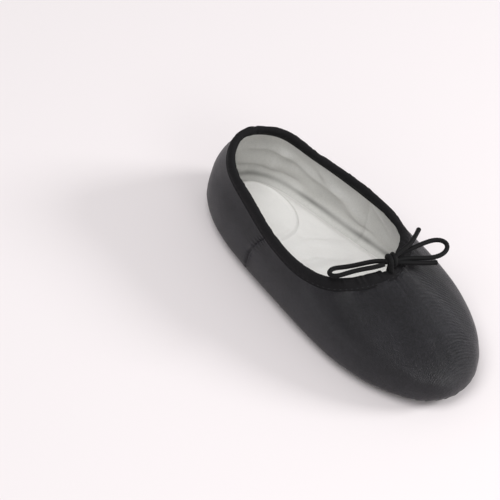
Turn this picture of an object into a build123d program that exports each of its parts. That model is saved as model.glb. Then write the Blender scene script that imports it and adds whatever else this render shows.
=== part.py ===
from build123d import *
import math
import os

# Ballet slipper, one of a pair, standing flat on its split sole.
# Millimetres.  X points to the toe, Y to the wearer's left, Z up; the floor is Z = 0.
# The slipper is cut straight, so it is the same for either foot.

# ---- upper --------------------------------------------------------------------------
fabric_outer = 0.9
fabric_lining = 0.7
layer_gap = 0.2
seam_gap = 0.15
edge_share = 0.01
sole_tuck = 9.0
wall_rise = 0.55
wall_lean = 0.50
wall_fullness = 0.35
tape_thickness = 0.4
tape_start = -0.45

# ---- casing and drawstring ----------------------------------------------------------
casing_height = 8.4
casing_thickness = 4.2
cord_diameter = 2.6
tunnel_clearance = 0.25
exit_gap = 1.0
throat_notch = 8.0
knot_radius = 3.4

# ---- sole and insole ----------------------------------------------------------------
sole_thickness = 1.5
sock_margin = 1.2
sock_thickness = 1.5
pad_thickness = 1.4
front_sole_start = 3.0
front_sole_end = 92.0
front_sole_half_width = 31.0
heel_sole_start = -94.0
heel_sole_end = -53.0
heel_sole_half_width = 19.0
pad_start = -85.0
pad_end = -43.0
pad_half_width = 15.5

# ---- how finely the curved layers are drawn -----------------------------------------
vamp_columns = 40
quarter_columns = 18
casing_columns = 30
tape_columns = 7
wall_rows = 12
casing_rows = 5
cord_points = 34
outline_points = 28

# Stations of the two lines that shape the upper, from the heel to the toe on one side:
# distance along the foot, half width and height.  Both lines are closed cubic B-splines.
widest_line = [
    (-101.5, 0, 14),
    (-96.0, 16.5, 13),
    (-76.0, 31, 12),
    (-26.0, 34.5, 12),
    (35.0, 46, 12),
    (76.0, 34.5, 12),
    (96.0, 19, 11),
    (101.5, 0, 11),
]
top_line = [
    (-94.0, 0, 57),
    (-73.0, 25, 54.5),
    (-54.0, 24.3, 50),
    (-18.0, 37, 45.5),
    (10.0, 31, 46),
    (20.5, 25, 49),
    (29.0, 9, 50),
    (32.0, 0, 52),
]

# Places round the slipper, as a share of the closed lines: 0 is the back of the heel and
# 0.5 the middle of the toe; below 0.5 is the wearer's right side.
outer_seam = 0.195
lining_seam = 0.225
tape_half_share = 0.012

# Free routes of the cord.  The loops start and end inside the knot.  The tails start where
# the cord leaves its tunnel, cross in the notch and pass up through the knot.
knot_centre = (31.6, 2.2, 55.2)
loop_right_route = [
    (31, 0.4, 55.6),
    (28, -2.6, 55.6),
    (25.2, -6.6, 55.2),
    (22.6, -11.2, 54.5),
    (19.9, -15.7, 53.5),
    (17.2, -19.8, 52.8),
    (14.9, -22.9, 52.4),
    (13.7, -26.1, 52.5),
    (14.9, -29.3, 53),
    (18.2, -29.7, 53.8),
    (20.5, -26.8, 54.3),
    (21.9, -22.9, 54.5),
    (23.9, -17.6, 54.7),
    (26.6, -12.2, 54.9),
    (29.4, -7, 55.1),
    (31.2, -1.8, 55.2),
]
loop_left_route = [
    (31.2, 2.6, 55.2),
    (31, 8, 55.1),
    (31.9, 14.2, 55.1),
    (33, 20.4, 54.9),
    (34, 26.6, 54.5),
    (35.4, 32.2, 53.8),
    (37.8, 36, 53),
    (40.8, 37.4, 52.1),
    (43.3, 35.8, 51.5),
    (44.5, 32.2, 51.2),
    (44.1, 27.6, 51.4),
    (42, 22.4, 52),
    (38.8, 17.4, 52.9),
    (35.8, 12, 54),
    (33.4, 6.6, 54.8),
    (32.6, 2.8, 55),
]
tail_left_route = [
    (34.5, 1.9, 48.8),
    (35.2, 0.6, 49.5),
    (35.6, -0.3, 50.9),
    (35.4, -0.6, 52.7),
    (34.5, -0.1, 54.6),
    (33.3, 1.6, 56.3),
    (32.2, 4.3, 57.6),
    (31.6, 8, 58.4),
    (31.8, 12.6, 58.8),
    (31.1, 18, 58.7),
    (28.8, 23.8, 57.9),
    (26, 29.4, 56.6),
]
tail_right_route = [
    (33.85, -1.7, 48.75),
    (33.3, -0.4, 49.4),
    (32.6, 0.5, 50.6),
    (32.1, 1.3, 52.1),
    (32.3, 2.6, 53.3),
    (33.5, 4.7, 53.8),
    (35.6, 7.8, 53.5),
    (38.4, 11.8, 52.7),
    (41.2, 16.2, 51.7),
    (43.9, 20.8, 50.6),
    (46, 25.4, 49.6),
]


def both_sides(stations):
    """Close a one-sided list of stations into a loop, right side first."""
    right = [Vector(x, -y, z) for x, y, z in stations]
    left = [Vector(x, y, z) for x, y, z in stations[-2:0:-1]]
    return right + left


def on_loop(points, place):
    """Point of the closed uniform cubic B-spline at a place from 0 to 1."""
    count = len(points)
    position = (place % 1.0) * count
    index = int(math.floor(position))
    s = position - index
    weights = (
        (1 - s) ** 3,
        3 * s ** 3 - 6 * s ** 2 + 4,
        -3 * s ** 3 + 3 * s ** 2 + 3 * s + 1,
        s ** 3,
    )
    total = Vector(0, 0, 0)
    for step, weight in enumerate(weights):
        total = total + points[(index + step - 1) % count] * (weight / 6)
    return total


widest_points = both_sides(widest_line)
top_points = both_sides(top_line)


def inward(place):
    """Level direction that points into the slipper from the widest line."""
    step = 0.001
    along = on_loop(widest_points, place + step) - on_loop(widest_points, place - step)
    return Vector(-along.Y, along.X, 0).normalized()


def skin(place, height):
    """Outer face of the upper: -1 sole edge, 0 widest line, 1 topline."""
    wide = on_loop(widest_points, place)
    if height < 0:
        angle = -height * math.pi / 2
        tuck = inward(place) * (sole_tuck * (1 - math.cos(angle)))
        drop = (wide.Z - sole_thickness) * math.sin(angle)
        return wide + tuck - Vector(0, 0, drop)
    top = on_loop(top_points, place)
    rise = top.Z - wide.Z
    lean = Vector(wide.X - top.X, wide.Y - top.Y, 0)
    first = wide + Vector(0, 0, wall_rise * rise)
    second = top + lean * wall_lean - Vector(0, 0, wall_fullness * rise)
    h = height
    return (
        wide * (1 - h) ** 3
        + first * (3 * (1 - h) ** 2 * h)
        + second * (3 * (1 - h) * h ** 2)
        + top * h ** 3
    )


def skin_inward(place, height):
    """Unit normal of the upper, pointing into the slipper."""
    step = 0.002
    around = skin(place + step, height) - skin(place - step, height)
    low = max(height - step, -1)
    high = min(height + step, 1)
    up = skin(place, high) - skin(place, low)
    return up.cross(around).normalized()


def layer_point(place, height, depth):
    """Point of the upper a given depth inside its outer face."""
    return skin(place, height) + skin_inward(place, height) * depth


def casing_share(place):
    """Share of the wall's height where the casing's lower edge lies."""
    step = 0.02
    slope = (skin(place, 1) - skin(place, 1 - step)).length / step
    return 1 - casing_height / slope


def spaced(start, end, count):
    return [start + (end - start) * i / (count - 1) for i in range(count)]


def profile(place, bottom, top, depth, rows):
    """Curve up one face of the wall at one place."""
    return Spline(*[layer_point(place, h, depth) for h in spaced(bottom, top, rows)])


def sheet(start, end, low, high, depth, thickness, columns, rows):
    """Layer of the wall between two places and two heights, outer face at the given depth."""
    outer = []
    inner = []
    for place in spaced(start, end, columns):
        outer.append(profile(place, low(place), high(place), depth, rows))
        inner.append(profile(place, low(place), high(place), depth + thickness, rows))
    sections = []
    for near, far in zip(outer, inner):
        sections.append(Wire([near, Line(near @ 1, far @ 1), far, Line(far @ 0, near @ 0)]))
    faces = list(Solid.make_loft(sections).faces())
    faces.append(Face.make_surface_from_curves(outer[0], inner[0]))
    faces.append(Face.make_surface_from_curves(outer[-1], inner[-1]))
    return Solid(Shell(faces))


def sole_edge(place):
    return -1.0


def topline(place):
    return 1.0


def under_casing(place):
    return casing_share(place) - edge_share


def tape_foot(place):
    return tape_start


def place_step(place, distance, points):
    """Share of the loop that covers a distance along one of the two lines."""
    step = 0.001
    return distance * step / (on_loop(points, place + step) - on_loop(points, place)).length


def whole_vamp(seam, depth, thickness):
    start = seam + place_step(seam, seam_gap, widest_points)
    return sheet(start, 1 - start, sole_edge, under_casing, depth, thickness, vamp_columns, wall_rows)


def quarter(side, seam, depth, thickness):
    back = place_step(0, seam_gap, widest_points)
    front = seam - place_step(seam, seam_gap, widest_points)
    start, end = (back, front) if side == "right" else (1 - front, 1 - back)
    return sheet(start, end, sole_edge, under_casing, depth, thickness, quarter_columns, wall_rows)


lining_depth = fabric_outer + layer_gap
tape_depth = lining_depth + fabric_lining + layer_gap
casing_depth = (lining_depth + fabric_lining - casing_thickness) / 2
casing_middle = casing_depth + casing_thickness / 2
notch_share = place_step(0.5, throat_notch / 2, top_points)


def back_tape():
    """Cotton tape over the back seam, inside the heel."""
    return sheet(
        -tape_half_share, tape_half_share, tape_foot, under_casing,
        tape_depth, tape_thickness, tape_columns, wall_rows,
    )


def in_casing(place):
    """Middle of the casing at a place on the topline."""
    return layer_point(place, (1 + casing_share(place)) / 2, casing_middle)


def cord_path(name, points):
    """Straight runs joined by arcs as large as the runs allow."""
    points = [Vector(*p) for p in points]
    radii = []
    for before, corner, after in zip(points, points[1:], points[2:]):
        run_in = corner - before
        run_out = after - corner
        turn = math.radians(run_in.get_angle(run_out))
        shorter = min(run_in.length, run_out.length)
        radii.append(0.45 * shorter / math.tan(turn / 2))
    print(name, "radii", [round(r, 1) for r in radii])
    return FilletPolyline(*points, radius=radii)


def cord_tube(path, radius):
    """Round cord swept along its path."""
    start = Plane(origin=path @ 0, z_dir=path % 0)
    return sweep(start * Circle(radius), path=path)


def casing_route():
    """Round the topline, from the right edge of the notch to the left edge."""
    first = 0.5 - notch_share
    return [in_casing(place) for place in spaced(first, -first, cord_points)]


def casing(side, tunnel):
    back = place_step(0, seam_gap, top_points)
    front = 0.5 - notch_share
    start, end = (back, front) if side == "right" else (1 - front, 1 - back)
    band = sheet(
        start, end, casing_share, topline, casing_depth, casing_thickness, casing_columns, casing_rows
    )
    return band - tunnel


def exit_point(side):
    """Where the cord leaves the tunnel, a little way into the notch."""
    sign = 1 if side == "left" else -1
    start = in_casing(0.5 + sign * notch_share)
    return (start.X, start.Y - sign * exit_gap, start.Z)


def flat_outline(margin):
    """Level outline at the sole edge, grown outwards by a margin."""
    points = []
    for i in range(outline_points):
        place = i / outline_points
        edge = skin(place, -1) - inward(place) * margin
        points.append((edge.X, edge.Y))
    return make_face(Spline(*points, periodic=True))


def level_plate(face, bottom, thickness):
    return extrude(Pos(0, 0, bottom) * face, amount=thickness)


def oval(start, end, half_width, fullness):
    """Rounded sole patch, blunt at the start and full at the end."""
    length = end - start
    side = [
        (start, 0),
        (start + 0.10 * length, 0.62 * half_width),
        (start + 0.32 * length, 0.90 * half_width),
        (start + fullness * length, half_width),
        (start + 0.88 * length, 0.66 * half_width),
        (end, 0),
    ]
    other = [(x, -y) for x, y in side[-2:0:-1]]
    return make_face(Spline(*(side + other), periodic=True))


def parts():
    """Every solid of the slipper by node name."""
    path = cord_path("drawstring_run", casing_route())
    tunnel = cord_tube(path, cord_diameter / 2 + tunnel_clearance)
    run = cord_tube(path, cord_diameter / 2)
    sock_bottom = sole_thickness + lining_depth + fabric_lining + layer_gap
    sock_top = sock_bottom + sock_thickness
    found = {
        "vamp_outer": whole_vamp(outer_seam, 0, fabric_outer),
        "quarter_outer_right": quarter("right", outer_seam, 0, fabric_outer),
        "quarter_outer_left": quarter("left", outer_seam, 0, fabric_outer),
        "vamp_lining": whole_vamp(lining_seam, lining_depth, fabric_lining),
        "quarter_lining_right": quarter("right", lining_seam, lining_depth, fabric_lining),
        "quarter_lining_left": quarter("left", lining_seam, lining_depth, fabric_lining),
        "back_seam_tape": back_tape(),
        "casing_right": casing("right", tunnel),
        "casing_left": casing("left", tunnel),
        "drawstring_run": run,
        "underfoot_panel": level_plate(
            flat_outline(-seam_gap), sole_thickness, fabric_outer
        ),
        "insole_sock": level_plate(flat_outline(sock_margin), sock_bottom, sock_thickness),
        "heel_pad": level_plate(oval(pad_start, pad_end, pad_half_width, 0.6), sock_top, pad_thickness),
        "outsole_front": level_plate(
            oval(front_sole_start, front_sole_end, front_sole_half_width, 0.62), 0, sole_thickness
        ),
        "outsole_heel": level_plate(
            oval(heel_sole_end, heel_sole_start, heel_sole_half_width, 0.62), 0, sole_thickness
        ),
        "bow_knot": Pos(*knot_centre) * Sphere(knot_radius),
    }
    free = {
        "bow_loop_right": loop_right_route,
        "bow_loop_left": loop_left_route,
        "bow_tail_left": [exit_point("left")] + tail_left_route,
        "bow_tail_right": [exit_point("right")] + tail_right_route,
    }
    for name, route in free.items():
        free_path = cord_path(name, route)
        found[name] = cord_tube(free_path, cord_diameter / 2)
        section = math.pi * cord_diameter ** 2 / 4
        print(name, "length", round(free_path.length, 1), "volume ratio",
              round(found[name].volume / (section * free_path.length), 3))
    return found


if __name__ == "__main__":
    os.makedirs("parts", exist_ok=True)
    for name, solid in parts().items():
        export_step(solid, "parts/" + name + ".step")
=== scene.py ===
import math
import bpy
import numpy as np
from mathutils import Matrix, Vector


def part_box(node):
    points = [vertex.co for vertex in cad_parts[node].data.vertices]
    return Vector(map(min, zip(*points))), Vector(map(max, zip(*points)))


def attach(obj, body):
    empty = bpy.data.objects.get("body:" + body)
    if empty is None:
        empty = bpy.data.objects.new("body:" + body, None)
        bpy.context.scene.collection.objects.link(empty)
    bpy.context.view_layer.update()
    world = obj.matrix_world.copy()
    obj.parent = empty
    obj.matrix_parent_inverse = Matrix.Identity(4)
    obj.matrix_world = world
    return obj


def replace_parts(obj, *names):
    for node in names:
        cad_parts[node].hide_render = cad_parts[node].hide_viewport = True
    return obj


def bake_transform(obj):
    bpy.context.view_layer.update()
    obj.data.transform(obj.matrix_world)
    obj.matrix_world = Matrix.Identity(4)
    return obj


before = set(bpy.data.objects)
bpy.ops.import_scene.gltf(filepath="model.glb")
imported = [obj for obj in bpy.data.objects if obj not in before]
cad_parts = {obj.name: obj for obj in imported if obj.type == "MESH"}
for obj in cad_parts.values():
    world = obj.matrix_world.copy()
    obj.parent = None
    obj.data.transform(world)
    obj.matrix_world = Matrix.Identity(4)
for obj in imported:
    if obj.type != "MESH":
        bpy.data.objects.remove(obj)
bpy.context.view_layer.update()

mm = 0.001

# Upper: the same two lines as the CAD model, in millimetres, heel to toe on one side.
shape = {
    "widestLine": [
        (-101.5, 0, 14), (-96.0, 16.5, 13), (-76.0, 31, 12), (-26.0, 34.5, 12),
        (35.0, 46, 12), (76.0, 34.5, 12), (96.0, 19, 11), (101.5, 0, 11),
    ],
    "topLine": [
        (-94.0, 0, 57), (-73.0, 25, 54.5), (-54.0, 24.3, 50), (-18.0, 37, 45.5),
        (10.0, 31, 46), (20.5, 25, 49), (29.0, 9, 50), (32.0, 0, 52),
    ],
    "soleTuck": 9.0,
    "wallRise": 0.55,
    "wallLean": 0.50,
    "wallFullness": 0.35,
    "casingHeight": 8.4,
    "liningDepth": 1.1,
    "outerSeam": 0.195,
    "liningSeam": 0.225,
}


def bothSides(stations):
    right = [(x, -y, z) for x, y, z in stations]
    left = [(x, y, z) for x, y, z in stations[-2:0:-1]]
    return np.array(right + left, float)


widestPoints = bothSides(shape["widestLine"])
topPoints = bothSides(shape["topLine"])
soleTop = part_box("outsole_front")[1][2] / mm


def onLoop(points, place):
    count = len(points)
    position = np.mod(place, 1.0) * count
    index = np.floor(position).astype(int)
    s = (position - index)[..., None]
    weights = ((1 - s) ** 3, 3 * s ** 3 - 6 * s ** 2 + 4, -3 * s ** 3 + 3 * s ** 2 + 3 * s + 1, s ** 3)
    return sum(points[(index + step - 1) % count] * w for step, w in enumerate(weights)) / 6


def unit(vectors):
    return vectors / np.maximum(np.linalg.norm(vectors, axis=-1, keepdims=True), 1e-9)


def inward(place):
    along = onLoop(widestPoints, place + 0.001) - onLoop(widestPoints, place - 0.001)
    return unit(np.stack([-along[..., 1], along[..., 0], 0 * along[..., 0]], -1))


def skin(place, height):
    place, height = np.broadcast_arrays(np.asarray(place, float), np.asarray(height, float))
    wide = onLoop(widestPoints, place)
    top = onLoop(topPoints, place)
    angle = np.clip(-height, 0, None) * math.pi / 2
    under = wide + inward(place) * (shape["soleTuck"] * (1 - np.cos(angle)))[..., None]
    under[..., 2] -= (wide[..., 2] - soleTop) * np.sin(angle)
    rise = (top - wide)[..., 2]
    first = wide.copy()
    first[..., 2] += shape["wallRise"] * rise
    second = top.copy()
    second[..., :2] += (wide - top)[..., :2] * shape["wallLean"]
    second[..., 2] -= shape["wallFullness"] * rise
    h = np.clip(height, 0, None)[..., None]
    over = wide * (1 - h) ** 3 + first * 3 * (1 - h) ** 2 * h + second * 3 * (1 - h) * h ** 2 + top * h ** 3
    return np.where((height < 0)[..., None], under, over)


def skinNormal(place, height):
    around = skin(place + 0.002, height) - skin(place - 0.002, height)
    up = skin(place, np.minimum(height + 0.01, 1)) - skin(place, np.maximum(height - 0.01, -1))
    return unit(np.cross(around, up))


def casingShare(place):
    slope = np.linalg.norm(skin(place, 1) - skin(place, 0.98), axis=-1) / 0.02
    return 1 - shape["casingHeight"] / slope


# Smooth lattice noise from -1 to 1, seeded, for folds and dents.
def softNoise(x, y, seed):
    table = np.random.default_rng(seed).uniform(-1, 1, (64, 64))
    x, y = np.broadcast_arrays(np.asarray(x, float), np.asarray(y, float))
    ix, iy = np.floor(x).astype(int), np.floor(y).astype(int)
    fx, fy = x - ix, y - iy
    fx, fy = fx * fx * (3 - 2 * fx), fy * fy * (3 - 2 * fy)
    a = table[ix % 64, iy % 64] * (1 - fx) + table[(ix + 1) % 64, iy % 64] * fx
    b = table[ix % 64, (iy + 1) % 64] * (1 - fx) + table[(ix + 1) % 64, (iy + 1) % 64] * fx
    return a * (1 - fy) + b * fy


def bump(x, centre, width):
    return np.exp(-((np.asarray(x, float) - centre) / width) ** 2)


def smoothStep(low, high, x):
    s = np.clip((np.asarray(x, float) - low) / (high - low), 0, 1)
    return s * s * (3 - 2 * s)


# Mesh helpers take points in millimetres and make meshes in metres.


# A sheet of quads on a grid of points. A closed one joins its last column to its first, and
# its uvs are the lengths along and across, with one more across for the joining column.
def gridMesh(name, points, uvs, closed=False, flip=False):
    rows, columns = points.shape[:2]
    strips = columns if closed else columns - 1
    i, j = np.meshgrid(np.arange(rows - 1), np.arange(strips), indexing="ij")
    nextJ = (j + 1) % columns
    corners = [(i, j), (i + 1, j), (i + 1, nextJ), (i, nextJ)]
    if flip:
        corners.reverse()
    faces = np.stack([(a * columns + b).ravel() for a, b in corners], 1)
    mesh = bpy.data.meshes.new(name)
    mesh.from_pydata((points.reshape(-1, 3) * mm).tolist(), [], faces.tolist())
    layer = mesh.uv_layers.new(name="cloth")
    if closed:
        cornerUvs = []
        for a, b in corners:
            across = np.where(np.abs(b - j) > 1, columns, b)
            cornerUvs.append(np.stack([uvs[0][a], uvs[1][across]], -1).reshape(-1, 2))
        flat = np.stack(cornerUvs, 1).reshape(-1)
    else:
        flat = uvs.reshape(-1, 2)[faces.ravel()].reshape(-1)
    layer.data.foreach_set("uv", flat.astype(np.float32))
    return placed(name, mesh)


def placed(name, mesh):
    mesh.polygons.foreach_set("use_smooth", [True] * len(mesh.polygons))
    mesh.update()
    piece = bpy.data.objects.new(name, mesh)
    bpy.context.scene.collection.objects.link(piece)
    return piece


# Running length along a line of points.
def lengthsAlong(line):
    return np.r_[0, np.cumsum(np.linalg.norm(np.diff(line, axis=0), axis=1))]


def joined(name, pieces):
    bpy.ops.object.select_all(action="DESELECT")
    for piece in pieces:
        piece.select_set(True)
    bpy.context.view_layer.objects.active = pieces[0]
    bpy.ops.object.join()
    pieces[0].name = name
    return pieces[0]


# Materials: every colour, weave and nap comes from nodes.
class Socket:
    def __init__(self, tree, output):
        self.tree = tree
        self.output = output

    def math(self, operation, other=None, swap=False):
        node = self.tree.nodes.new("ShaderNodeMath")
        node.operation = operation
        values = [self, other] if not swap else [other, self]
        for slot, value in enumerate(values):
            if value is not None:
                plug(self.tree, node.inputs[slot], value)
        return Socket(self.tree, node.outputs[0])

    def __add__(self, other):
        return self.math("ADD", other)

    def __radd__(self, other):
        return self.math("ADD", other, True)

    def __sub__(self, other):
        return self.math("SUBTRACT", other)

    def __rsub__(self, other):
        return self.math("SUBTRACT", other, True)

    def __mul__(self, other):
        return self.math("MULTIPLY", other)

    def __rmul__(self, other):
        return self.math("MULTIPLY", other, True)

    def __truediv__(self, other):
        return self.math("DIVIDE", other)

    def __pow__(self, other):
        return self.math("POWER", other)

    def sine(self):
        return self.math("SINE")

    def exp(self):
        return self.math("EXPONENT")

    def size(self):
        return self.math("ABSOLUTE")


def plug(tree, target, value):
    if isinstance(value, Socket):
        tree.links.new(value.output, target)
    else:
        target.default_value = value


class Material:
    def __init__(self, name):
        self.material = bpy.data.materials.new(name)
        self.material.use_nodes = True
        self.tree = self.material.node_tree
        self.shader = self.tree.nodes["Principled BSDF"]

    def node(self, kind, settings=None, inputs=None, output=0):
        node = self.tree.nodes.new(kind)
        for key, value in (settings or {}).items():
            if key == "stops":
                for stop, (position, color) in zip(node.color_ramp.elements, value):
                    stop.position = position
                    stop.color = (*color, 1)
            else:
                setattr(node, key, value)
        for key, value in (inputs or {}).items():
            plug(self.tree, node.inputs[key], value)
        return Socket(self.tree, node.outputs[output])

    def set(self, **values):
        for key, value in values.items():
            plug(self.tree, self.shader.inputs[key.replace("_", " ")], value)

    def split(self, vector):
        first = self.node("ShaderNodeSeparateXYZ", None, {0: vector})
        return [Socket(self.tree, output) for output in first.output.node.outputs]

    def uv(self):
        return self.node("ShaderNodeUVMap", {"uv_map": "cloth"})

    def objectPlace(self):
        return self.node("ShaderNodeTexCoord", output="Object")

    def noise(self, vector, scale, detail=3.0, roughness=0.5):
        return self.node(
            "ShaderNodeTexNoise", None,
            {"Vector": vector, "Scale": scale, "Detail": detail, "Roughness": roughness},
        )

    def ramp(self, factor, low, high, fromColor, toColor):
        stops = [(low, fromColor), (high, toColor)]
        return self.node("ShaderNodeValToRGB", {"stops": stops}, {0: factor})

    def mixColor(self, factor, first, second):
        colors = [c if isinstance(c, Socket) else (*c, 1) for c in (first, second)]
        inputs = {0: factor, 6: colors[0], 7: colors[1]}
        return self.node("ShaderNodeMix", {"data_type": "RGBA"}, inputs, 2)

    def bumped(self, height, distance, strength=1.0):
        normal = self.node(
            "ShaderNodeBump", None, {"Height": height, "Distance": distance, "Strength": strength}
        )
        self.set(Normal=normal)


# Crossing threads on the cloth's own coordinates (millimetres): 0 in the holes, 1 on a thread.
def weave(m, pitch, fuzz=0.7):
    u, v, _ = m.split(m.uv())
    warp = (u * (math.pi / pitch)).sine()
    weft = (v * (math.pi / pitch)).sine()
    over = warp * weft
    plain = over.size() ** 0.5
    warble = m.noise(m.objectPlace(), 900.0, 2.0)
    return plain * (1 - fuzz * 0.4) + warble * fuzz


canvasLook = {
    "dark": (0.001, 0.001, 0.0011), "light": (0.024, 0.023, 0.0285), "tint": (0.72, 0.72, 0.9, 1),
    "twill": 1.0, "depth": 0.0006,
}


# Twill: the threads lie on a slant, broken up by slubs along the yarn.
def canvasMaterial():
    m = Material("canvas")
    u, v, _ = m.split(m.uv())
    slant = ((u * 0.8 + v) * (math.pi / canvasLook["twill"])).sine().size()
    slub = m.noise(m.uv(), 0.85, 3.0, 0.7)
    yarn = m.noise(m.uv(), 0.35, 2.0, 0.5)
    wear = m.noise(m.objectPlace(), 30.0, 4.0, 0.6)
    threads = slant * 0.35 + slub * 0.65
    shade = threads * 0.62 + yarn * 0.16 + wear * 0.22
    m.set(
        Base_Color=m.ramp(shade, 0.42, 0.68, canvasLook["dark"], canvasLook["light"]),
        Roughness=0.27 + slub * 0.2,
        Specular_IOR_Level=0.30,
        Sheen_Weight=0.03,
        Sheen_Roughness=0.4,
        Sheen_Tint=canvasLook["tint"],
    )
    m.bumped(threads, canvasLook["depth"], 0.9)
    return m.material


bindingLook = {
    "dark": (0.003, 0.003, 0.0032), "light": (0.013, 0.0125, 0.0135), "tint": (0.8, 0.8, 0.85, 1),
    "pitch": 0.5, "depth": 0.00014,
}


def bindingMaterial():
    m = Material("binding")
    threads = weave(m, bindingLook["pitch"])
    m.set(
        Base_Color=m.ramp(threads, 0.1, 0.9, bindingLook["dark"], bindingLook["light"]),
        Roughness=0.75 + threads * 0.1,
        Specular_IOR_Level=0.10,
        Sheen_Weight=0.012,
        Sheen_Roughness=0.5,
        Sheen_Tint=bindingLook["tint"],
    )
    m.bumped(threads, bindingLook["depth"], 0.8)
    return m.material


# Cotton looks: dark and light colours, thread pitch in millimetres, depth of the weave in
# metres and how much of the shade is blotches. The lining has a line of painted shade near the
# insole, darkening the crease where the wall meets it; its height and width are in millimetres up from the
# sole edge.
cottonLooks = {
    "lining": {
        "dark": (0.50, 0.50, 0.48), "light": (0.72, 0.715, 0.69), "pitch": 0.6, "depth": 0.00012,
        "blotches": 0.35,
        # line: painted shade that darkens the crease where the lining meets the insole.
        "line": {"height": 6.4, "width": 1.9, "strength": 1.15, "color": (0.13, 0.13, 0.12)},
    },
    "sock": {
        "dark": (0.84, 0.83, 0.81), "light": (0.93, 0.92, 0.90), "pitch": 0.6, "depth": 0.00014,
        "blotches": 0.5,
    },
    "tape": {
        "dark": (0.50, 0.49, 0.46), "light": (0.68, 0.67, 0.63), "pitch": 0.6, "depth": 0.0002,
        "blotches": 0.35,
    },
}


def cottonMaterial(name):
    look = cottonLooks[name]
    m = Material(name)
    threads = weave(m, look["pitch"])
    blotch = m.noise(m.objectPlace(), 45.0, 4.0, 0.6)
    shade = threads * (1 - look["blotches"]) + blotch * look["blotches"]
    color = m.ramp(shade, 0.2, 0.8, look["dark"], look["light"])
    # Painted shade: the lining darkens in a patchy band at the crease just above the insole.
    if "line" in look:
        line = look["line"]
        _, up, _ = m.split(m.uv())
        away = (up - line["height"]) / line["width"]
        patchyShade = m.noise(m.objectPlace(), 38.0, 2.0) * line["strength"]
        color = m.mixColor((away * away * -1).exp() * patchyShade, color, line["color"])
    m.set(
        Base_Color=color,
        Roughness=0.85 + threads * 0.1,
        Specular_IOR_Level=0.2,
        Sheen_Weight=0.15,
        Sheen_Roughness=0.6,
    )
    m.bumped(threads, look["depth"], 0.7)
    return m.material


cordLook = {"dark": (0.002, 0.002, 0.0022), "light": (0.009, 0.0088, 0.0095), "depth": 0.00012}


def cordMaterial():
    m = Material("cord")
    fuzz = m.noise(m.objectPlace(), 1600.0, 3.0, 0.6)
    m.set(
        Base_Color=m.ramp(fuzz, 0.25, 0.8, cordLook["dark"], cordLook["light"]),
        Roughness=0.55 + fuzz * 0.25,
        Specular_IOR_Level=0.14,
        Sheen_Weight=0.015,
        Sheen_Roughness=0.5,
    )
    m.bumped(fuzz, cordLook["depth"], 0.7)
    return m.material


threadColors = {"black_thread": (0.022, 0.022, 0.024), "white_thread": (0.72, 0.71, 0.68)}


def threadMaterial(name):
    color = threadColors[name]
    m = Material(name)
    fuzz = m.noise(m.objectPlace(), 2200.0, 2.0, 0.5)
    dark = tuple(c * 0.7 for c in color)
    m.set(
        Base_Color=m.mixColor(fuzz, dark, color),
        Roughness=0.55 + fuzz * 0.2,
        Specular_IOR_Level=0.2,
        Sheen_Weight=0.02,
    )
    m.bumped(fuzz, 0.00006, 0.6)
    return m.material


suedeLook = {"dark": (0.045, 0.042, 0.041), "light": (0.13, 0.122, 0.118), "depth": 0.00025}


def suedeMaterial():
    m = Material("suede")
    nap = m.noise(m.objectPlace(), 700.0, 5.0, 0.65)
    scuff = m.noise(m.objectPlace(), 60.0, 4.0, 0.6)
    shade = nap * 0.45 + scuff * 0.55
    m.set(
        Base_Color=m.ramp(shade, 0.3, 0.75, suedeLook["dark"], suedeLook["light"]),
        Roughness=0.88 + nap * 0.1,
        Specular_IOR_Level=0.2,
        Sheen_Weight=0.4,
        Sheen_Roughness=0.5,
    )
    m.bumped(nap, suedeLook["depth"], 0.9)
    return m.material


canvas = canvasMaterial()
binding = bindingMaterial()
lining = cottonMaterial("lining")
sock = cottonMaterial("sock")
tape = cottonMaterial("tape")
cord = cordMaterial()
blackThread = threadMaterial("black_thread")
whiteThread = threadMaterial("white_thread")
suede = suedeMaterial()
print("materials done")


def dress(piece, material):
    piece.data.materials.clear()
    piece.data.materials.append(material)
    return piece


view = {
    "azimuth": 40.2,
    "elevation": 52.1,
    "roll": 8.9,
    "distance": 1.876,
    "aim": (-0.0255, -0.0508, 0.050),
    "lens": 244.3,
}


def addCamera():
    azimuth, elevation, roll = (math.radians(view[k]) for k in ("azimuth", "elevation", "roll"))
    level = math.cos(elevation)
    back = Vector((math.sin(azimuth) * level, -math.cos(azimuth) * level, math.sin(elevation)))
    right = Vector((math.cos(azimuth), math.sin(azimuth), 0))
    up = back.cross(right)
    turnedRight = right * math.cos(roll) + up * math.sin(roll)
    turnedUp = up * math.cos(roll) - right * math.sin(roll)
    data = bpy.data.cameras.new("camera")
    data.lens = view["lens"]
    data.sensor_width = 36
    data.clip_end = 20
    camera = bpy.data.objects.new("camera", data)
    bpy.context.scene.collection.objects.link(camera)
    turn = Matrix((turnedRight, turnedUp, back)).transposed().to_4x4()
    turn.translation = Vector(view["aim"]) + back * view["distance"]
    camera.matrix_world = turn
    bpy.context.scene.camera = camera


addCamera()
print("camera done")

# Bow: free routes of the drawstring, from the knot, in metres. The braid pitch is in
# millimetres, and the fray and dip shape the cut ends.
bow = {
    "diameter": 0.0026, "strands": 8, "braidPitch": 3.2, "braidDepth": 0.055, "sides": 32,
    "step": 0.00022, "fray": 0.16, "frayReach": 0.0009, "endDip": 0.55, "endDipReach": 0.00018,
}
loopRightRoute = [
    (0.031, 0.0004, 0.0556), (0.028, -0.0026, 0.0556), (0.0252, -0.0066, 0.0552),
    (0.0226, -0.0112, 0.0545), (0.0199, -0.0157, 0.0535), (0.0172, -0.0198, 0.0528),
    (0.0149, -0.0229, 0.0524), (0.0137, -0.0261, 0.0525), (0.0149, -0.0293, 0.053),
    (0.0182, -0.0297, 0.0538), (0.0205, -0.0268, 0.0543), (0.0219, -0.0229, 0.0545),
    (0.0239, -0.0176, 0.0547), (0.0266, -0.0122, 0.0549), (0.0294, -0.007, 0.0551),
    (0.0312, -0.0018, 0.0552),
]
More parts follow.
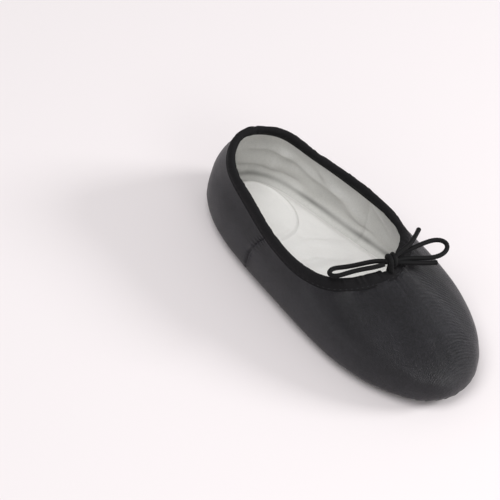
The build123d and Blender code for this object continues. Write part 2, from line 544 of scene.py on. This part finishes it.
loopLeftRoute = [
    (0.0312, 0.0026, 0.0552), (0.031, 0.008, 0.0551), (0.0319, 0.0142, 0.0551),
    (0.033, 0.0204, 0.0549), (0.034, 0.0266, 0.0545), (0.0354, 0.0322, 0.0538),
    (0.0378, 0.036, 0.053), (0.0408, 0.0374, 0.0521), (0.0433, 0.0358, 0.0515),
    (0.0445, 0.0322, 0.0512), (0.0441, 0.0276, 0.0514), (0.042, 0.0224, 0.052),
    (0.0388, 0.0174, 0.0529), (0.0358, 0.012, 0.054), (0.0334, 0.0066, 0.0548),
    (0.0326, 0.0028, 0.055),
]
tailLeftRoute = [
    (0.0345, 0.0019, 0.0488), (0.0352, 0.0006, 0.0495), (0.0356, -0.0003, 0.0509),
    (0.0354, -0.0006, 0.0527), (0.0345, -0.0001, 0.0546), (0.0333, 0.0016, 0.0563),
    (0.0322, 0.0043, 0.0576), (0.0316, 0.008, 0.0584), (0.0318, 0.0126, 0.0588),
    (0.0311, 0.018, 0.0587), (0.0288, 0.0238, 0.0579), (0.026, 0.0294, 0.0566),
]
tailRightRoute = [
    (0.03385, -0.0017, 0.04875), (0.0333, -0.0004, 0.0494), (0.0326, 0.0005, 0.0506),
    (0.0321, 0.0013, 0.0521), (0.0323, 0.0026, 0.0533), (0.0335, 0.0047, 0.0538),
    (0.0356, 0.0078, 0.0535), (0.0384, 0.0118, 0.0527), (0.0412, 0.0162, 0.0517),
    (0.0439, 0.0208, 0.0506), (0.046, 0.0254, 0.0496),
]
# In millimetres: how far a tail starts from the casing's end, how deep the cord lies in the
# casing, and half the gap between the casing's two ends at the throat.
exitGap = 1.0
casingMiddle = 0.9
notchHalfWidth = 4.0


def placeStep(place, distance, points):
    length = np.linalg.norm(onLoop(points, np.array(place + 0.001)) - onLoop(points, np.array(place)))
    return distance * 0.001 / length


notchShare = placeStep(0.5, notchHalfWidth, topPoints)


def inCasing(place):
    place = np.asarray(place, float)
    height = (1 + casingShare(place)) / 2
    return skin(place, height) - skinNormal(place, height) * casingMiddle


def exitPoint(side):
    start = inCasing(0.5 + side * notchShare)
    return (start[0] * mm, (start[1] - side * exitGap) * mm, start[2] * mm)


def nurbsLine(points):
    curve = bpy.data.curves.new("route", "CURVE")
    curve.dimensions = "3D"
    curve.resolution_u = 16
    spline = curve.splines.new("NURBS")
    spline.points.add(len(points) - 1)
    for target, point in zip(spline.points, points):
        target.co = (*point, 1)
    spline.order_u = 3
    spline.use_endpoint_u = True
    holder = bpy.data.objects.new("route", curve)
    bpy.context.scene.collection.objects.link(holder)
    bpy.context.view_layer.update()
    mesh = bpy.data.meshes.new_from_object(holder)
    line = np.array([v.co[:] for v in mesh.vertices])
    bpy.data.objects.remove(holder)
    bpy.data.meshes.remove(mesh)
    return line


def spread(line, step):
    keep = np.r_[True, np.linalg.norm(np.diff(line, axis=0), axis=1) > 1e-7]
    line = line[keep]
    along = lengthsAlong(line)
    count = max(int(along[-1] / step), 8)
    even = np.linspace(0, along[-1], count)
    return np.stack([np.interp(even, along, line[:, k]) for k in range(3)], 1), even


def frames(line):
    forward = unit(np.gradient(line, axis=0))
    side = np.zeros_like(line)
    side[0] = unit(np.cross(forward[0], (0.3, 0.2, 1.0)))
    for i in range(1, len(line)):
        side[i] = unit(side[i - 1] - forward[i] * np.dot(side[i - 1], forward[i]))
    return side, np.cross(forward, side)


# Braided cord: a tube whose surface rises where the crossing strands lie.
def braidedTube(name, line, radius, ends=(False, False)):
    points, along = spread(line, bow["step"])
    side, other = frames(points)
    around = np.linspace(0, 2 * math.pi, bow["sides"], endpoint=False)
    twist = along[:, None] / mm * (2 * math.pi / bow["braidPitch"])
    half = bow["strands"] / 2
    strands = np.abs(np.sin(half * around[None] + twist)) * np.abs(np.sin(half * around[None] - twist))
    ring = radius * (1 - bow["braidDepth"] + 2 * bow["braidDepth"] * np.sqrt(strands))
    for end, here in zip(ends, (along, along[-1] - along)):
        if end:
            flare = 1 + bow["fray"] * np.exp(-here / bow["frayReach"])
            flare = flare - bow["endDip"] * np.exp(-here / bow["endDipReach"])
            ring = ring * flare[:, None]
        else:
            ring = ring * np.sqrt(np.clip(here / 0.0006, 0.02, 1))[:, None]
    tube = (
        points[:, None]
        + side[:, None] * (np.cos(around) * ring)[..., None]
        + other[:, None] * (np.sin(around) * ring)[..., None]
    )
    caps = [np.repeat(end[:, None], bow["sides"], 1) for end in (points[:1], points[-1:])]
    tube = np.concatenate([caps[0], tube, caps[1]], 0)
    lengths = np.r_[along[0], along, along[-1]] / mm
    uvs = (np.r_[lengths, lengths[-1]], np.linspace(0, 2 * math.pi * radius / mm, bow["sides"] + 1))
    piece = gridMesh(name, tube / mm, uvs, closed=True, flip=True)
    return dress(piece, cord), points


# Knot: one wrap round the crossing strands, with a second turn that locks it.
knotShape = {
    "centre": (31.4, 2.2, 55.3), "wrapRadius": 2.7, "width": 4.2, "turns": 1.6, "turnSteps": 160,
    "core": [(-3.6, -0.9, 0.0), (-1.6, 0.5, 0.4), (0.6, -0.5, -0.3), (2.6, 0.9, 0.1), (4.6, 0.6, 0.4)],
}


def makeKnot():
    centre = np.array(knotShape["centre"])
    axis = unit(np.array([0.25, 1.0, 0.0]))
    across = unit(np.array([1.0, -0.25, 0.0]))
    angle = np.linspace(-0.3 * math.pi, (2 * knotShape["turns"] - 0.3) * math.pi, knotShape["turnSteps"])
    slide = np.linspace(-0.5, 0.5, knotShape["turnSteps"]) * knotShape["width"]
    slide = slide + 0.5 * np.sin(angle)
    wrap = (
        centre
        + axis * slide[:, None]
        + across * (np.cos(angle) * knotShape["wrapRadius"] * 1.15)[:, None]
        + np.array([0, 0, 1.0]) * (np.sin(angle) * knotShape["wrapRadius"] * 0.92)[:, None]
    )
    piece, _ = braidedTube("bow_knot_wrap", wrap * mm, bow["diameter"] / 2 * 1.06)
    core = np.stack([
        centre + axis * s + across * c + np.array([0, 0, z])
        for s, c, z in knotShape["core"]
    ])
    inner, _ = braidedTube("bow_knot_core", nurbsLine(core * mm), bow["diameter"] / 2 * 1.15)
    knot = joined("bow_knot_wrap", [piece, inner])
    dress(knot, cord)
    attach(knot, "bow")
    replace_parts(knot, "bow_knot")
    return knot


def makeBow():
    radius = bow["diameter"] / 2
    routes = {
        "bow_loop_right": (loopRightRoute, "object", (False, False)),
        "bow_loop_left": (loopLeftRoute, "object", (False, False)),
        "bow_tail_left": ([exitPoint(1)] + tailLeftRoute, "bare", (False, True)),
        "bow_tail_right": ([exitPoint(-1)] + tailRightRoute, "bare", (False, True)),
    }
    made = {}
    for name, (route, farEnd, ends) in routes.items():
        piece, points = braidedTube(name + "_braid", nurbsLine(route), radius, ends)
        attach(piece, "bow")
        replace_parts(piece, name)
        made[name] = (piece, points, farEnd)
    knot = makeKnot()
    for name, (piece, points, farEnd) in made.items():
        [knot] if name == "bow_tail_left" else []


makeBow()
print("bow done")


def bends(piece):
    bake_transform(piece)
    return piece


def underCasing(place):
    return casingShare(place) + 0.012


# Cloth from one place to another, from the sole edge up to the casing; proud gives each
# point's height off the wall.
def clothGrid(name, start, end, depth, proud, columns, rows, flip=False):
    place = np.linspace(start, end, columns)[:, None]
    share = np.linspace(0, 1, rows)[None, :]
    height = -1 + (underCasing(place) + 1) * share
    place = place + 0 * height
    normal = skinNormal(place, height)
    base = skin(place, height)
    points = base + normal * (proud(place, height) - depth)[..., None]
    along = lengthsAlong(base[:, rows // 2])
    steps = np.cumsum(np.linalg.norm(np.diff(base, axis=1), axis=2), axis=1)
    up = np.concatenate([np.zeros((columns, 1)), steps], 1)
    uvs = np.stack([np.repeat(along[:, None], rows, 1), up], -1)
    return gridMesh(name, points, uvs, flip=flip)


clothRows = {"outer": 170, "lining": 110}
gathers = {"depth": 0.95, "reach": 6.0, "pitch": 2.9, "tuck": 0.75}
slump = {"depth": 3.2, "place": 0.2, "reach": 0.06}
pleats = {"depth": 1.5, "count": 15, "reach": 0.42}


# 0 at the back seam and 1 away from it, so that the two halves meet there.
def awayFromBack(place):
    turn = np.mod(place, 1.0)
    return smoothStep(0.0, 0.018, np.minimum(turn, 1 - turn))


# Distance in millimetres below the casing's lower edge.
def belowCasing(place, height):
    share = casingShare(place)
    slope = shape["casingHeight"] / (1 - share)
    return (share - height) * slope


def alongTop(place):
    line = onLoop(topPoints, np.linspace(0, 1, 2001))
    steps = lengthsAlong(line)
    return np.interp(np.mod(place, 1), np.linspace(0, 1, 2001), steps)


def gatherFolds(place, height, pitch, seed):
    along = alongTop(place) + 1.1 * softNoise(alongTop(place) / 9, height * 3, seed)
    fine = softNoise(along / (0.45 * pitch), height * 1.5, seed + 1)
    broad = softNoise(along / (1.2 * pitch), height * 2.0, seed + 2)
    return 0.5 + 0.40 * fine + 0.45 * broad


def toePleats(place, height):
    turn = (place - 0.5) * pleats["count"] / 0.30 + 0.25 * softNoise(place * 40, height * 2, 8)
    saw = turn - np.floor(turn)
    fold = smoothStep(0, 0.16, saw) * (1 - 0.55 * smoothStep(0.16, 1, saw))
    under = smoothStep(pleats["reach"] - 0.15, -0.75, height)
    return (fold - 0.62) * under ** 1.6 * bump(place, 0.5, 0.14)


def outerProud(place, height):
    below = np.clip(belowCasing(place, height), 0, None)
    front = bump(place, 0.5, 0.13)
    side = 0.16 + front
    folds = gatherFolds(place, height, gathers["pitch"], 3)
    ruching = gathers["depth"] * side * folds * np.exp(-below / (gathers["reach"] * (0.4 + 0.6 * front)))
    along = alongTop(place)
    tucks = softNoise(along / 6.5, below / 1.15, 7) + 0.6 * softNoise(along / 2.6, below / 0.8, 9)
    ruching = ruching + gathers["tuck"] * front * tucks * np.exp(-below / 3.6)
    dents = 0.55 * softNoise(place * 22, height * 2.2, 5) + 0.35 * softNoise(place * 48, height * 4.5, 6)
    dents = dents * smoothStep(-1.0, -0.3, height) * (0.45 + 0.3 * front)
    sag = slump["depth"] * bump(place, slump["place"], slump["reach"]) * bump(height, -0.05, 0.6)
    return (ruching + dents) * awayFromBack(place) + sag + pleats["depth"] * toePleats(place, height)


# The cloth dips where a seam pulls it in.
def seamDip(place, seams, depth, width):
    dip = 0
    for seam in seams:
        distance = (place - seam) / placeStep(seam, 1.0, widestPoints)
        dip = dip - depth * np.exp(-(distance / width) ** 2)
    return dip


outerSeams = (shape["outerSeam"], 1 - shape["outerSeam"], 0.0, 1.0)
liningSeams = (shape["liningSeam"], 1 - shape["liningSeam"], 0.0, 1.0)


def outerSkin(place, height):
    pucker = 0.18 * np.sin(height * 70 + 9 * softNoise(0, height * 5, 12))
    near = -seamDip(place, outerSeams, 1.0, 3.0)
    return outerProud(place, height) + seamDip(place, outerSeams, 0.75, 0.75) + pucker * near


# Soft folds of the lining, each a ridge into the slipper from one spot to another:
# place and height at both ends, how far it stands and its half width in millimetres.
liningFolds = [
    (0.985, 0.30, 0.865, 0.42, 2.2, 4.2), (0.955, 0.02, 0.845, 0.10, 2.6, 4.6),
    (0.895, 0.55, 0.80, 0.25, 1.8, 3.6), (0.83, 0.62, 0.775, 0.02, 1.9, 3.2),
    (0.77, 0.70, 0.735, 0.05, 1.4, 2.8), (0.715, 0.62, 0.69, 0.05, 1.7, 3.0),
    (0.67, 0.66, 0.655, 0.10, 1.3, 2.6), (0.02, 0.35, 0.12, 0.20, 1.8, 4.0),
    (0.17, 0.60, 0.20, 0.05, 1.5, 3.2), (0.28, 0.62, 0.30, 0.08, 1.5, 3.0),
    (0.35, 0.55, 0.36, 0.10, 1.2, 2.8),
]


# Rough millimetres of wall for a whole turn of place, and from the widest line to the top.
wallSpread = (480, 36)


def standingFolds(place, height):
    around, rise = wallSpread
    total = 0 * place * height
    for startPlace, startHeight, endPlace, endHeight, depth, width in liningFolds:
        x, y = (place - startPlace) * around, (height - startHeight) * rise
        runX, runY = (endPlace - startPlace) * around, (endHeight - startHeight) * rise
        length = math.hypot(runX, runY)
        along = (x * runX + y * runY) / length
        across = (x * runY - y * runX) / length + 1.6 * np.sin(along / 13)
        inside = smoothStep(-8, 6, along) * (1 - smoothStep(length - 6, length + 8, along))
        total = total + depth * inside * np.exp(-(across / width) ** 2)
    return total


def liningSkin(place, height):
    wrinkle = 1.5 * softNoise(place * 24, height * 1.3, 21) + 0.8 * softNoise(place * 52, height * 1.8, 22)
    folds = gatherFolds(place, height, 4.2, 23)
    below = np.clip(belowCasing(place, height), 0, None)
    rise = wrinkle * smoothStep(-1, -0.4, height) * (1 - 0.6 * np.exp(-below / 4))
    ruching = 0.5 * (0.35 + bump(place, 0.5, 0.2)) * folds * np.exp(-below / 7)
    rise = (rise - standingFolds(place, height)) * awayFromBack(place)
    return np.minimum(rise, 0.6) - ruching * awayFromBack(place) + seamDip(place, liningSeams, -0.6, 0.9)


def makeUpper():
    outerCut = shape["outerSeam"]
    liningCut = shape["liningSeam"]
    outerPieces = [
        ("vamp_outer", "vamp_cloth", outerCut, 1 - outerCut, 760),
        ("quarter_outer_right", "quarter_cloth_right", 0.0, outerCut, 240),
        ("quarter_outer_left", "quarter_cloth_left", 1 - outerCut, 1.0, 240),
    ]
    for node, name, start, end, columns in outerPieces:
        piece = clothGrid(name, start, end, 0.0, outerSkin, columns, clothRows["outer"])
        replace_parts(dress(piece, canvas), node)
        bends(piece)
    liningPieces = [
        ("vamp_lining", "lining_front", liningCut, 1 - liningCut, 420),
        ("quarter_lining_right", "lining_heel_right", 0.0, liningCut, 200),
        ("quarter_lining_left", "lining_heel_left", 1 - liningCut, 1.0, 200),
    ]
    for node, name, start, end, columns in liningPieces:
        depth = shape["liningDepth"] + 0.7
        rows = clothRows["lining"]
        piece = clothGrid(name, start, end, depth, liningSkin, columns, rows, flip=True)
        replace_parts(dress(piece, lining), node)
        bends(piece)


makeUpper()
print("upper done")

# Cut across the binding: height above its lower edge and depth inside the wall's outer
# face, from the outer lower edge over the cord to the inner lower edge.
bindingSection = [
    (0.1, 0.35), (-0.15, -0.05), (-0.05, -0.45), (0.6, -0.62), (1.5, -0.42), (2.5, -0.62), (3.6, -1.15),
    (5.0, -1.45), (6.4, -1.3), (7.7, -0.75), (8.5, 0.2), (8.7, 1.1), (8.4, 2.0), (7.5, 2.85),
    (6.2, 3.25), (4.8, 3.3), (3.5, 2.95), (2.4, 2.5), (1.4, 2.35), (0.3, 2.5), (-0.1, 2.3),
    (-0.1, 1.9), (0.1, 1.4),
]
sectionMiddle = 0.95
sectionPoints = 66


def roundedSection():
    places = np.linspace(0, 1, sectionPoints, endpoint=False)
    return onLoop(np.array(bindingSection, float), places)


def casingPoint(place, high, depth):
    share = casingShare(place)
    slope = shape["casingHeight"] / (1 - share)
    height = share + high / slope
    over = np.clip(height - 1, 0, None) * slope
    capped = np.minimum(height, 1)
    normal = skinNormal(place, capped)
    up = unit(skin(place, 1 + 0 * capped) - skin(place, 0.985 + 0 * capped))
    return skin(place, capped) - normal * depth[..., None] + up * over[..., None]


def casingGrid(name, start, end, columns):
    place = np.linspace(start, end, columns)[:, None]
    section = roundedSection()
    high = section[None, :, 0] + 0 * place
    depth = section[None, :, 1] + 0 * place
    front = bump(place, 0.5, 0.12)
    along = alongTop(place)
    rucks = 1.1 * softNoise(along / 1.5, high / 5, 30) + 0.9 * softNoise(along / 3.4, 0, 31)
    bulge = np.clip((high - 1.4) / 3, 0, 1)
    swell = rucks * bulge * (0.15 + 0.36 * front) * awayFromBack(place)
    depth = sectionMiddle + (depth - sectionMiddle) * (1 + swell * 0.55)
    high = high + swell * 0.45 * bulge + 0.28 * softNoise(along / 12, 0, 33) * awayFromBack(place)
    points = casingPoint(place + 0 * high, high, depth)
    acrossLength = lengthsAlong(section)
    uvs = (alongTop(np.linspace(start, end, columns)), np.r_[acrossLength, acrossLength[-1] + 0.4])
    return gridMesh(name, points, uvs, closed=True, flip=True)


stitch = {"sides": 8, "steps": 7, "sink": 0.35, "share": 0.66}
casingStitch = {"pitch": 2.9, "radius": 0.2}
seamStitch = {"pitch": 2.4, "radius": 0.17, "deep": 0.12, "backAside": 1.8, "sideAside": 1.7}
patchStitch = {"pitch": 3.2, "radius": 0.22, "inset": 2.2}


# Running stitch: short thread loops that sink into the cloth at each end.
def stitchRow(name, pointAt, lengths, size, material):
    verts, faces = [], []
    pitch, radius = size["pitch"], size["radius"]
    ringCount, steps = stitch["sides"], stitch["steps"]
    total = lengths[-1]
    for start in np.arange(0.4 * pitch, total - 0.7 * pitch, pitch):
        places = start + np.linspace(0, stitch["share"] * pitch, steps)
        centre, normal = pointAt(places)
        lift = np.sin(np.linspace(0, math.pi, steps)) ** 0.6
        centre = centre + normal * ((lift - 1) * stitch["sink"] + radius * 0.35 * lift)[:, None]
        forward = unit(np.gradient(centre, axis=0))
        side = unit(np.cross(forward, normal))
        other = np.cross(side, forward)
        angle = np.linspace(0, 2 * math.pi, ringCount, endpoint=False)
        thick = radius * np.sqrt(np.clip(np.sin(np.linspace(0.05, math.pi - 0.05, steps)), 0.05, 1))
        first = len(verts)
        for k in range(steps):
            spokes = side[k] * np.cos(angle)[:, None] + other[k] * np.sin(angle)[:, None]
            verts.extend(((centre[k] + thick[k] * spokes) * mm).tolist())
        for k in range(steps - 1):
            for n in range(ringCount):
                a = first + k * ringCount + n
                b = first + k * ringCount + (n + 1) % ringCount
                faces.append((a, b, b + ringCount, a + ringCount))
        faces.append(tuple(first + n for n in range(ringCount))[::-1])
        faces.append(tuple(first + (steps - 1) * ringCount + n for n in range(ringCount)))
    mesh = bpy.data.meshes.new(name)
    mesh.from_pydata(verts, [], faces)
    return dress(placed(name, mesh), material)


topPlaces = np.linspace(0, 1, 4001)
topLengths = alongTop(topPlaces)
topLengths[-1] = np.linalg.norm(np.diff(onLoop(topPoints, topPlaces), axis=0), axis=1).sum()


def onCasing(high, depth, outside):
    def pointAt(lengths):
        place = np.interp(lengths, topLengths, topPlaces)
        points = casingPoint(place, np.full_like(place, high), np.full_like(place, depth))
        normal = skinNormal(place, casingShare(place))
        return points, normal if outside else -normal
    return pointAt


def makeCasing():
    for side in ("right", "left"):
        start, end = (0.0, 0.5 - notchShare) if side == "right" else (0.5 + notchShare, 1.0)
        piece = casingGrid("binding_" + side, start, end, 820)
        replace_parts(dress(piece, binding), "casing_" + side)
        bends(piece)
    span = np.linspace(0, topLengths[-1], 100)
    rows = (("binding_stitch_outside", 1.3, -0.42, True), ("binding_stitch_inside", 1.25, 2.35, False))
    for name, high, depth, outside in rows:
        pointAt = onCasing(high, depth, outside)
        bends(stitchRow(name, pointAt, span, casingStitch, blackThread))


makeCasing()


# Top stitching on the outer cloth beside a seam of the wall.
def besideSeam(seam, aside, depth):
    heights = np.linspace(-0.92, 1.0, 400)
    place = seam + aside * placeStep(seam, 1.0, widestPoints) + 0 * heights
    line = skin(place, heights)
    lengths = lengthsAlong(line)
    last = np.searchsorted(heights, casingShare(place)[0])

    def pointAt(distances):
        height = np.interp(distances, lengths, heights)
        here = place[0] + 0 * height
        normal = skinNormal(here, height)
        return skin(here, height) + normal * (outerSkin(here, height) - depth)[..., None], normal
    return pointAt, lengths[:last]


def makeSeamStitches():
    rows = [
        ("back_stitch", 0.0, seamStitch["backAside"]),
        ("side_stitch_right", outerSeams[0], seamStitch["sideAside"]),
        ("side_stitch_left", outerSeams[1], -seamStitch["sideAside"]),
        ("back_stitch_twin", 0.0, -seamStitch["backAside"]),
    ]
    for name, seam, aside in rows:
        pointAt, lengths = besideSeam(seam, aside, seamStitch["deep"])
        bends(stitchRow(name, pointAt, lengths, seamStitch, blackThread))


makeSeamStitches()


throat = {"reach": 1.25, "columns": 60, "height": 0.94, "dip": 0.26, "thickness": 0.86, "ripple": 0.10}


# Throat: a short fold of binding closes the notch below the knot, and the cord runs
# hidden in the casing all the way round.
def makeThroat():
    reach = notchShare * throat["reach"]
    place = np.linspace(0.5 - reach, 0.5 + reach, throat["columns"])[:, None]
    section = roundedSection()
    across = (place - 0.5) / reach
    sink = throat["height"] - throat["dip"] * (1 - across ** 2)
    ripple = 1 + throat["ripple"] * softNoise(alongTop(place) / 1.6, 0, 61)
    high = section[None, :, 0] * sink * ripple
    depth = sectionMiddle + (section[None, :, 1] - sectionMiddle) * throat["thickness"] * ripple
    points = casingPoint(place + 0 * high, high, depth)
    uvs = (alongTop(place[:, 0]), np.linspace(0, 16, sectionPoints + 1))
    piece = gridMesh("throat_fold", points, uvs, closed=True, flip=True)
    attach(dress(piece, binding), "forefoot")
    places = np.linspace(0.5 - notchShare, -(0.5 - notchShare), 700)
    line = inCasing(places) * mm
    run, _ = braidedTube("drawstring_braid", line, bow["diameter"] / 2 * 0.97)
    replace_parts(run, "drawstring_run")
    bends(run)


makeThroat()
print("casing done")

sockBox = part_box("insole_sock")


# Level sheet inside the sole edge: rings shrink from the edge to the slipper's spine.
def levelSheet(name, margin, height, rings, columns, edgeDrop, flip=False):
    place = np.linspace(0, 1, columns, endpoint=False)
    edge = skin(place, -1.0)[:, :2] - inward(place)[:, :2] * margin
    spine = np.stack([np.clip(edge[:, 0], -78, 74), 0 * place], 1)
    points = np.zeros((columns, rings, 3))
    for k, share in enumerate(np.linspace(0, 1, rings) ** 0.8):
        level = edge + (spine - edge) * share
        points[:, k, :2] = level
        away = np.linalg.norm(level - edge, axis=1)
        points[:, k, 2] = height(level[:, 0], level[:, 1], away) - edgeDrop * np.exp(-(away / 2.4) ** 2)
    uvs = points[..., :2].copy()
    columnsUv = np.concatenate([uvs, uvs[:1]], 0)
    closed = np.concatenate([points, points[:1]], 0)
    return gridMesh(name, closed, columnsUv, flip=flip)


# Insole wrinkles: middle x and y, length and depth, in millimetres.
wrinkleSpots = [
    (-14, 4, 26, 2.6), (-4, -8, 22, 2.2), (-26, 12, 20, 1.9),
    (8, 8, 24, 2.0), (-20, -6, 16, 1.6), (20, -4, 22, 1.8),
]


def sockHeight(x, y, away):
    top = sockBox[1][2] / mm
    crown = 0.5 * smoothStep(0, 10, away)
    fold = 0
    for cx, cy, length, depth in wrinkleSpots:
        u = (x - cx) * 0.45 + (y - cy) * 0.89
        v = -(x - cx) * 0.89 + (y - cy) * 0.45
        line = v + 1.6 * np.sin(u / 5.0)
        fold = fold + depth * np.exp(-(line / 1.35) ** 2 - (u / length * 1.6) ** 2)
    soft = 0.3 * softNoise(x / 11, y / 8, 41) + 0.12 * softNoise(x / 4, y / 3, 42)
    return top + crown + fold + soft * smoothStep(0, 8, away)


pad = {
    "start": -88.0, "end": -40.0, "halfWidth": 17.5, "height": 1.5, "squareness": 2.3,
    "ridge": 0.55, "ridgeInset": 1.6, "ridgeWidth": 1.2, "rings": 40, "columns": 181,
}


def makePad():
    angle = np.linspace(0, 2 * math.pi, pad["columns"])
    middle = (pad["start"] + pad["end"]) / 2
    half = (pad["end"] - pad["start"]) / 2
    points = np.zeros((pad["columns"], pad["rings"], 3))
    power = pad["squareness"]
    for k, share in enumerate(np.linspace(1.0, 0.0, pad["rings"])):
        c, s = np.cos(angle), np.sin(angle)
        size = share / (np.abs(c) ** power + np.abs(s) ** power) ** (1 / power)
        x, y = middle + half * size * c, pad["halfWidth"] * size * s
        away = (1 - share) * pad["halfWidth"]
        ridge = pad["ridge"] * math.exp(-((away - pad["ridgeInset"]) / pad["ridgeWidth"]) ** 2)
        rise = pad["height"] * float(smoothStep(-0.4, 1.7, away)) + ridge
        points[:, k, 0], points[:, k, 1] = x, y
        points[:, k, 2] = sockHeight(x, y, 0 * x + 12) - 0.35 + rise
    points[-1] = points[0]
    piece = gridMesh("heel_pad_cloth", points, points[..., :2].copy())
    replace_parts(dress(piece, sock), "heel_pad")
    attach(piece, "heel")


def makeInsole():
    piece = levelSheet("sock_cloth", 0.2, sockHeight, 140, 420, 1.9)
    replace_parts(dress(piece, sock), "insole_sock")
    bends(piece)
    makePad()


backTape = {"halfPlace": 0.014, "depth": 2.35, "crown": 0.25, "lowest": -0.6}


# Tape down the inside of the back seam, up to the casing.
def makeTape():
    half = backTape["halfPlace"]
    place = np.linspace(-half, half, 24)[:, None]
    height = np.linspace(backTape["lowest"], float(casingShare(np.array(0.0))) + 0.02, 70)[None, :]
    deep = backTape["depth"] + backTape["crown"] * (1 - (place / half) ** 4) + 0 * height
    wall = place + 0 * height
    points = skin(wall, height) - skinNormal(wall, height) * deep[..., None]
    uvs = np.stack([alongTop(place + 0.5) + 0 * height, height * 45 + 0 * place], -1)
    strip = gridMesh("back_seam_tape_cloth", points, uvs, flip=True)
    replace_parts(dress(strip, tape), "back_seam_tape")
    bends(strip)


makeInsole()
makeTape()


def underHeight(x, y, away):
    return soleTop + 0.15 * softNoise(x / 9, y / 7, 51) * smoothStep(0, 4, away) + 0.1


def makeUnderside():
    piece = levelSheet("underfoot_cloth", -0.1, underHeight, 40, 420, 0.0, flip=True)
    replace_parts(dress(piece, canvas), "underfoot_panel")
    bends(piece)
    for node in ("outsole_front", "outsole_heel"):
        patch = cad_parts[node]
        patch.data.materials.clear()
        patch.data.materials.append(suede)
        soften = patch.modifiers.new("edge", "BEVEL")
        soften.width = 0.0004
        soften.segments = 3
        soften.limit_method = "ANGLE"


# Stitching round a sole patch: the patch's own edge, drawn in and followed on its underside.
def patchEdge(node, margin):
    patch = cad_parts[node]
    points = np.array([v.co[:2] for v in patch.data.vertices if v.co[2] < 0.0002]) / mm
    middle = (points.min(0) + points.max(0)) / 2
    turn = np.arctan2(points[:, 1] - middle[1], points[:, 0] - middle[0])
    angle = np.linspace(-math.pi, math.pi, 721)
    away = np.linalg.norm(points - middle, axis=1)
    order = np.argsort(turn)
    reach = np.interp(angle, turn[order], away[order], period=2 * math.pi)
    edge = middle + np.stack([np.cos(angle), np.sin(angle)], 1) * reach[:, None]
    along = unit(np.gradient(edge, axis=0))
    return edge + np.stack([-along[:, 1], along[:, 0]], 1) * margin


def makePatchStitches():
    for node, body in (("outsole_front", "forefoot"), ("outsole_heel", "heel")):
        edge = patchEdge(node, patchStitch["inset"])
        lengths = lengthsAlong(edge)

        def pointAt(distances, edge=edge, lengths=lengths):
            x = np.interp(distances, lengths, edge[:, 0])
            y = np.interp(distances, lengths, edge[:, 1])
            down = np.stack([0 * x, 0 * x, 0 * x - 1], 1)
            return np.stack([x, y, 0 * x], 1), down
        name = node.replace("outsole", "patch_stitch")
        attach(stitchRow(name, pointAt, lengths, patchStitch, whiteThread), body)


makeUnderside()
makePatchStitches()
print("insole and soles done")


# Each lamp: where it stands, what it points at, its size in metres and its power in watts.
lamps = {
    "key": ((0.72, 0.92, 0.66), (0.05, 0, 0.03), 0.45, 10.5),
    "fill": ((-0.05, -0.45, 1.35), (0, 0, 0.03), 0.9, 9.5),
    "rim": ((0.9, -0.2, 0.8), (0.03, 0, 0.03), 0.5, 1.5),
}
studio = {
    "worldColor": (1.0, 0.985, 0.99, 1), "worldStrength": 0.48, "floorHalf": 6.0,
    "floorDark": (0.80, 0.757, 0.766), "floorLight": (0.81, 0.767, 0.776),
}


def addArea(name, place, aim, size, power):
    data = bpy.data.lights.new(name, "AREA")
    data.shape = "DISK"
    data.size = size
    data.energy = power
    lamp = bpy.data.objects.new(name, data)
    lamp.location = place
    lamp.rotation_euler = (Vector(aim) - Vector(place)).to_track_quat("-Z", "Y").to_euler()
    bpy.context.scene.collection.objects.link(lamp)


def addStudio():
    world = bpy.data.worlds.new("studio")
    world.use_nodes = True
    background = world.node_tree.nodes["Background"]
    background.inputs[0].default_value = studio["worldColor"]
    background.inputs[1].default_value = studio["worldStrength"]
    bpy.context.scene.world = world
    for name, (place, aim, size, power) in lamps.items():
        addArea(name, place, aim, size, power)
    m = Material("floor")
    grain = m.noise(m.objectPlace(), 3.0, 3.0)
    m.set(Base_Color=m.mixColor(grain, studio["floorDark"], studio["floorLight"]), Roughness=0.9)
    size = studio["floorHalf"]
    mesh = bpy.data.meshes.new("floor")
    corners = [(-size, -size, 0), (size, -size, 0), (size, size, 0), (-size, size, 0)]
    mesh.from_pydata(corners, [], [(0, 1, 2, 3)])
    mesh.materials.append(m.material)
    floor = bpy.data.objects.new("floor", mesh)
    bpy.context.scene.collection.objects.link(floor)


addStudio()
bpy.context.scene.view_settings.view_transform = "Standard"
print("studio done")
